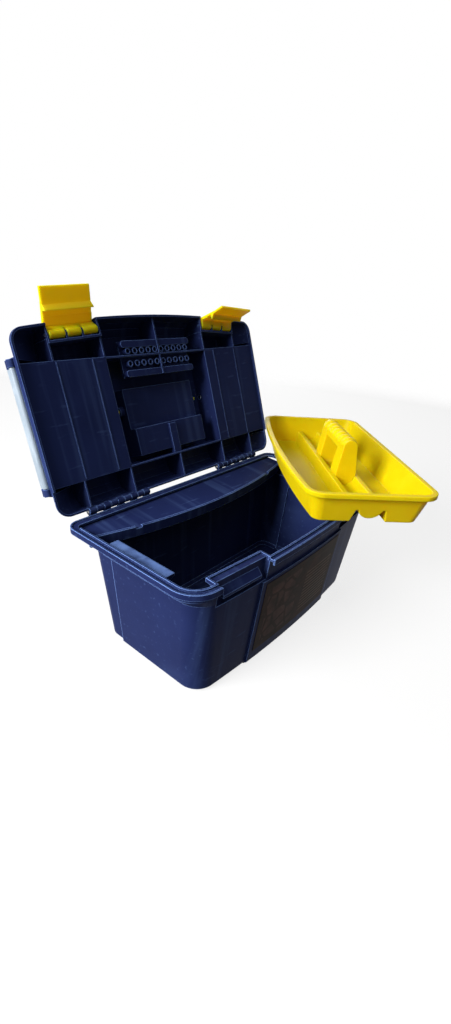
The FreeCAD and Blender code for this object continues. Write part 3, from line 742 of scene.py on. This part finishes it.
# Brighter rubbed colour and full rub paint light-blue highlight lines along the rim, lip and shelf edges,
# together with their wear.
CASE_NAVY = replace(
    NAVY,
    name="navy_case_moulding",
    rubbed_and_highlight=(0.1600, 0.2700, 0.6000),
    edge_rub_and_highlight=1.0,
    edge_radius=0.0013,
    # The resting place paints a lighter highlight on the tray's ledge inside the rim, along with wear.
    highlit_resting_place=HighlitRestingPlace(near=0.1674, far=0.1844, front=-0.039, back=0.046, level=0.1465),
)
# The paler rubbed yellow paints highlights on the edges as well as their wear.
YELLOW = MouldedPlastic(
    name="yellow_moulding",
    colour=(0.7200, 0.5350, 0.0030),
    deep=(0.6500, 0.4750, 0.0022),
    rubbed_and_highlight=(0.7900, 0.6300, 0.0400),
    roughness=0.36,
    specular=0.05,
    edge_rub_and_highlight=0.4,
    streak=0.05,
    subsurface=0.6,
    depth=0.009,
)
THIN_YELLOW = replace(YELLOW, name="yellow_fitting", subsurface=0.9, depth=0.02)
CLEAR = FrostedPlastic(
    name="frosted_cover",
    colour=(0.330, 0.405, 0.480),
    scratched=(0.560, 0.640, 0.720),
    roughness=0.34,
)
STEEL = DrawnSteel(
    name="pin_wire",
    colour=(0.300, 0.305, 0.315),
    dull=(0.130, 0.130, 0.130),
    roughness=0.42,
)
PRINT = PrintedLabel(
    name="label_print",
    ground=(0.013, 0.009, 0.007),
    brown=(0.150, 0.085, 0.075),
    pale=(0.340, 0.250, 0.170),
    half_width=0.080,
    bottom=0.018,
    top=0.116,
    roughness=0.42,
)


@dataclass
class Moulding:
    """A moulded piece that stands for one solid, with its edges rounded.

    Attributes:
        node: Solid that the piece stands for.
        body: Rigid body that carries it.
        slot: Material slot of the record.
        edge_radius: Radius of the outer edges, in metres.
        hollow_radius: Radius of the inner edges, in metres.
        segments: Facets across each rounded edge.
        sharp_angle: Edges that turn by more than this, in degrees, are rounded.
        crease_angle: Edges that turn by more than this, in degrees, but aren't rounded, stay sharp.
        weld: Points nearer than this are joined, in metres.
        flat_angle: Facets that turn by less than this, in degrees, are merged.
        face_weight: How far large faces win over the rounding in the shading.
        unfold_turns: Most tries at taking folds out of the rounding.
        near_points: Points around a fold whose edges lose their rounding at the first try.
        more_points: Points that each further try adds.
        fold_turn: Cosine between two neighbouring faces below which they count as folded.
        fold_area: Folded faces smaller than this, in square metres, are left.
    """

    node: str
    body: Body
    slot: Slot
    edge_radius: float = 0.0006
    hollow_radius: float = 0.0006
    segments: int = 2
    sharp_angle: float = 32.0
    crease_angle: float = 20.0
    weld: float = 2e-5
    flat_angle: float = 0.4
    face_weight: int = 80
    unfold_turns: int = 9
    near_points: int = 3
    more_points: int = 2
    fold_turn: float = -0.5
    fold_area: float = 1e-9

    def build(self) -> bpy.types.Object:
        """Copy the solid's skin, merge its flat facets and round its edges.

        Returns:
            The new object, without material or body.
        """
        piece = bpy.data.objects.new(f"{self.node}_skin", self._flat_faced())
        bpy.context.scene.collection.objects.link(piece)
        bevel = piece.modifiers.new("rounded_edges", "BEVEL")
        bevel.width = max(self.edge_radius, self.hollow_radius)
        bevel.segments = self.segments
        bevel.limit_method = "WEIGHT"
        bevel.use_clamp_overlap = False
        bevel.loop_slide = False
        self._unfold(piece)
        flat = piece.modifiers.new("flat_faces", "WEIGHTED_NORMAL")
        flat.mode = "FACE_AREA"
        flat.weight = self.face_weight
        flat.keep_sharp = True
        return piece

    def dress(self, piece: bpy.types.Object, material: bpy.types.Material) -> None:
        """Give the piece its material and its body, and hide its solid.

        Args:
            piece: Object made by build.
            material: Material of the piece.
        """
        piece.data.materials.clear()
        piece.data.materials.append(material)
        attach(piece, self.body.value)
        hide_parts(self.node)
        LOG.info("piece %s on %s", piece.name, self.body.value)

    def _flat_faced(self) -> bpy.types.Mesh:
        """Merge coplanar facets of the solid, and weight each hard edge by its radius.

        Returns:
            A new mesh.
        """
        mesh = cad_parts[self.node].data.copy()
        work = bmesh.new()
        work.from_mesh(mesh)
        bmesh.ops.remove_doubles(work, verts=work.verts, dist=self.weld)
        bmesh.ops.dissolve_limit(
            work,
            angle_limit=math.radians(self.flat_angle),
            verts=work.verts,
            edges=work.edges,
            use_dissolve_boundaries=False,
        )
        many_sided = [face for face in work.faces if len(face.verts) > QUAD_SIDES]
        bmesh.ops.triangulate(work, faces=many_sided)
        weight = work.edges.layers.float.new("bevel_weight_edge")
        widest = max(self.edge_radius, self.hollow_radius)
        sharp = math.radians(self.sharp_angle)
        crease = math.radians(self.crease_angle)
        for face in work.faces:
            face.smooth = True
        for edge in work.edges:
            turn = edge.calc_face_angle_signed(0.0)
            edge.smooth = not crease <= abs(turn) < sharp
            if abs(turn) >= sharp:
                edge[weight] = (self.edge_radius if turn > 0.0 else self.hollow_radius) / widest
        work.to_mesh(mesh)
        work.free()
        return mesh

    def _unfold(self, piece: bpy.types.Object) -> None:
        """Leave those edges sharp whose rounding has no room and would fold the skin.

        Args:
            piece: Object with its bevel as the last modifier.
        """
        mesh = piece.data
        points = kdtree.KDTree(len(mesh.vertices))
        for vertex in mesh.vertices:
            points.insert(vertex.co, vertex.index)
        points.balance()
        meeting: dict[int, list[int]] = {}
        for edge in mesh.edges:
            for vertex in edge.vertices:
                meeting.setdefault(vertex, []).append(edge.index)
        weights = mesh.attributes["bevel_weight_edge"].data
        for turn in range(self.unfold_turns):
            spots = self._folds(piece)
            LOG.info("%s: %d folds left at turn %d", piece.name, len(spots), turn)
            if not spots:
                return
            for spot in spots:
                for _, vertex, _ in points.find_n(spot, self.near_points + self.more_points * turn):
                    for edge in meeting.get(vertex, ()):
                        if weights[edge].value > 0.0:
                            weights[edge].value = 0.0
                            mesh.edges[edge].use_edge_sharp = True
            mesh.update()

    def _folds(self, piece: bpy.types.Object) -> list[Vector]:
        """Find places where two neighbouring faces of the finished piece lie back to back.

        Args:
            piece: Object with its modifiers.

        Returns:
            The middle of each folded edge.
        """
        work = bmesh.new()
        work.from_object(piece, bpy.context.evaluated_depsgraph_get())
        bmesh.ops.triangulate(work, faces=work.faces)
        spots = []
        for edge in work.edges:
            if len(edge.link_faces) == 2:
                first, second = edge.link_faces
                least = min(first.calc_area(), second.calc_area())
                if first.normal.dot(second.normal) < self.fold_turn and least > self.fold_area:
                    spots.append((edge.verts[0].co + edge.verts[1].co) / 2.0)
        work.free()
        return spots


@dataclass
class SubAssembly:
    """Mouldings of one sub-assembly, and the solids that keep their own mesh."""

    finishes: Mapping[Slot, bpy.types.Material]

    def mouldings(self) -> Sequence[Moulding]:
        """Mouldings to build."""
        return ()

    def solids(self) -> Mapping[str, Slot]:
        """Solids that only get a material."""
        return {}

    def build(self) -> None:
        """Build and dress all pieces."""
        for moulding in self.mouldings():
            moulding.dress(moulding.build(), self.finishes[moulding.slot])
        for node, slot in self.solids().items():
            self.dress_solid(node, slot)

    def dress_solid(self, node: str, slot: Slot) -> None:
        """Give a solid its material.

        Args:
            node: Name of the solid.
            slot: Slot of its material.
        """
        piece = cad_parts[node]
        piece.data.materials.clear()
        piece.data.materials.append(self.finishes[slot])
        LOG.info("solid %s", node)


@dataclass
class ToolCase(SubAssembly):
    """Tub with its rim, front label and hinge wires."""

    def solids(self) -> Mapping[str, Slot]:
        """Tub, label and hinge wires."""
        pins = {f"hinge_pin_{side}": Slot.PIN for side in ("right", "left")}
        return {"case_body": Slot.NAVY, "front_label": Slot.LABEL, **pins}


@dataclass
class HingedLid(SubAssembly):
    """Lid with its two bit racks and the latches' wires."""

    def solids(self) -> Mapping[str, Slot]:
        """Lid, racks and the latches' wires.

        Returns:
            The slot of each solid.
        """
        racks = {f"bit_rack_{end}": Slot.NAVY for end in ("front", "rear")}
        pins = {f"latch_pin_{side}": Slot.PIN for side in ("right", "left")}
        return {"lid_shell": Slot.NAVY, **racks, **pins}


@dataclass
class Fittings(SubAssembly):
    """Latches, carry handle and clear covers that swing on the lid; radii in metres."""

    latch_radius: float = 0.0006
    handle_radius: float = 0.0014
    cover_radius: float = 0.0006

    def mouldings(self) -> Sequence[Moulding]:
        """The five swinging pieces."""
        return (
            Moulding("latch_left", Body.LATCH_LEFT, Slot.YELLOW, self.latch_radius),
            Moulding("latch_right", Body.LATCH_RIGHT, Slot.YELLOW, self.latch_radius),
            Moulding("carry_handle", Body.HANDLE, Slot.YELLOW, self.handle_radius),
            Moulding("organiser_cover_left", Body.COVER_LEFT, Slot.CLEAR, self.cover_radius),
            Moulding("organiser_cover_right", Body.COVER_RIGHT, Slot.CLEAR, self.cover_radius),
        )


@dataclass
class LiftOutTray(SubAssembly):
    """Tray with softly rounded rim and troughs; radii in metres."""

    rim_radius: float = 0.0008
    trough_radius: float = 0.0008
    segments: int = 3

    def mouldings(self) -> Sequence[Moulding]:
        """The tray."""
        radii = (self.rim_radius, self.trough_radius)
        return (Moulding("tray", Body.TRAY, Slot.YELLOW, *radii, self.segments),)


@dataclass
class Viewpoint:
    """Camera at the photograph's viewing angle; lengths in metres, angles in degrees."""

    target: Place = (0.09175, 0.10750, 0.06968)
    distance: float = 0.75098
    azimuth: float = -52.08
    elevation: float = 26.39
    roll: float = 4.74
    lens_mm: float = 16.591
    sensor_mm: float = 36.0
    clip: float = 0.01

    def build(self) -> bpy.types.Object:
        """Make the camera and hand it to the scene.

        Returns:
            The camera.
        """
        turn = math.radians(self.azimuth)
        lift = math.radians(self.elevation)
        lean = math.radians(self.roll)
        level = math.cos(lift)
        back = Vector((math.sin(turn) * level, -math.cos(turn) * level, math.sin(lift)))
        right = (-back).cross(Vector((0.0, 0.0, 1.0))).normalized()
        up = right.cross(-back)
        side = right * math.cos(lean) + up * math.sin(lean)
        head = up * math.cos(lean) - right * math.sin(lean)
        data = bpy.data.cameras.new("viewpoint")
        data.lens = self.lens_mm
        data.sensor_width = self.sensor_mm
        data.clip_start = self.clip
        camera = bpy.data.objects.new("viewpoint", data)
        bpy.context.scene.collection.objects.link(camera)
        place = Vector(self.target) + back * self.distance
        axes = Matrix((side, head, back)).transposed().to_4x4()
        camera.matrix_world = Matrix.Translation(place) @ axes
        bpy.context.scene.camera = camera
        return camera


@dataclass(frozen=True)
class SoftLamp:
    """A square soft box that points at the middle of the object; metres and watts."""

    name: str
    place: Place
    size: float
    power: float
    aim: Place = (0.0, 0.05, 0.15)

    def build(self) -> bpy.types.Object:
        """Make the lamp.

        Returns:
            The lamp.
        """
        data = bpy.data.lights.new(self.name, "AREA")
        data.size = self.size
        data.energy = self.power
        lamp = bpy.data.objects.new(self.name, data)
        bpy.context.scene.collection.objects.link(lamp)
        lamp.location = self.place
        lamp.rotation_mode = "QUATERNION"
        lamp.rotation_quaternion = (Vector(self.aim) - Vector(self.place)).to_track_quat("-Z", "Y")
        return lamp


@dataclass
class Studio:
    """Pale floor that fades into a white ground, with soft lamps; lengths in metres.

    Attributes:
        floor_radius: Radius of the floor sheet.
        floor_segments: Sides of the floor sheet.
        floor_drop: Gap under the object.
        fade_start: Distance from the middle at which the floor starts to fade.
        fade_end: Distance from the middle at which the floor has faded.
        floor_colour: Colour of the floor in sight.
        bounce_colour: Colour of the floor for the light that it throws back.
        floor_veil: Share of white ground that lies over the floor in sight.
        ambient: Strength of the even light.
        lamps: Soft boxes.
    """

    floor_radius: float = 2.6
    floor_segments: int = 96
    floor_drop: float = 0.0005
    fade_start: float = 0.75
    fade_end: float = 1.9
    floor_colour: Colour = (0.90, 0.90, 0.90)
    bounce_colour: Colour = (0.10, 0.10, 0.10)
    floor_veil: float = 0.80
    ambient: float = 0.135
    lamps: tuple[SoftLamp, ...] = (
        SoftLamp("key_lamp", (-1.60, 0.36, 0.95), 0.9, 68.0),
        SoftLamp("top_lamp", (0.10, -0.10, 1.75), 1.1, 3.0),
        SoftLamp("front_lamp", (-0.55, -0.85, 2.10), 1.4, 4.6),
        SoftLamp("back_lamp", (1.30, 1.30, 0.75), 1.2, 9.0),
    )

    def build(self) -> None:
        """Make floor, world and lamps."""
        self._floor()
        self._world()
        for lamp in self.lamps:
            lamp.build()
        bpy.context.scene.view_settings.view_transform = "Standard"

    def _floor(self) -> None:
        """Lay a round floor sheet whose rim fades out."""
        mesh = bpy.data.meshes.new("floor_sheet")
        work = bmesh.new()
        bmesh.ops.create_circle(
            work, cap_ends=True, segments=self.floor_segments, radius=self.floor_radius
        )
        work.to_mesh(mesh)
        work.free()
        floor = bpy.data.objects.new("floor_sheet", mesh)
        floor.location = (0.0, 0.0, -self.floor_drop)
        bpy.context.scene.collection.objects.link(floor)
        mesh.materials.append(self._paper())

    def _paper(self) -> bpy.types.Material:
        """Make the floor's paper, which is veiled with white in sight and keeps the shadow.

        Returns:
            The new material.
        """
        graph = Graph.of_material("floor_paper")
        reach = graph.add("ShaderNodeVectorMath", {"operation": "LENGTH"}, {0: graph.place()}, "Value")
        seen = graph.in_sight()
        bounce = graph.add("ShaderNodeBsdfDiffuse", {}, {"Color": self.bounce_colour})
        paper = graph.add("ShaderNodeBsdfDiffuse", {}, {"Color": self.floor_colour})
        sheet = graph.add("ShaderNodeMixShader", {}, {0: seen, 1: bounce, 2: paper})
        clear = graph.add("ShaderNodeBsdfTransparent")
        veil = reach.step(self.fade_start, self.fade_end).larger(seen * self.floor_veil)
        return graph.finish(graph.add("ShaderNodeMixShader", {}, {0: veil, 1: sheet, 2: clear}))

    def _world(self) -> None:
        """White ground for the camera and for reflections, softer light for everything else."""
        graph = Graph.of_world("studio")
        soft = graph.add("ShaderNodeBackground", {}, {"Color": WHITE, "Strength": self.ambient})
        white = graph.add("ShaderNodeBackground", {}, {"Color": WHITE, "Strength": 1.0})
        ground = graph.add("ShaderNodeMixShader", {}, {0: graph.in_sight(), 1: soft, 2: white})
        bpy.context.scene.world = graph.finish(ground)


def main() -> None:
    """Build and dress every piece, then the camera and the studio."""
    logging.basicConfig(level=logging.INFO)
    finishes = {
        Slot.NAVY: NAVY.material(),
        Slot.YELLOW: YELLOW.material(),
        Slot.CLEAR: CLEAR.material(),
        Slot.LABEL: PRINT.material(),
        Slot.PIN: STEEL.material(),
    }
    ToolCase({**finishes, Slot.NAVY: CASE_NAVY.material()}).build()
    HingedLid(finishes).build()
    Fittings({**finishes, Slot.YELLOW: THIN_YELLOW.material()}).build()
    LiftOutTray(finishes).build()
    Viewpoint().build()
    Studio().build()


if __name__ == "__main__":
    main()
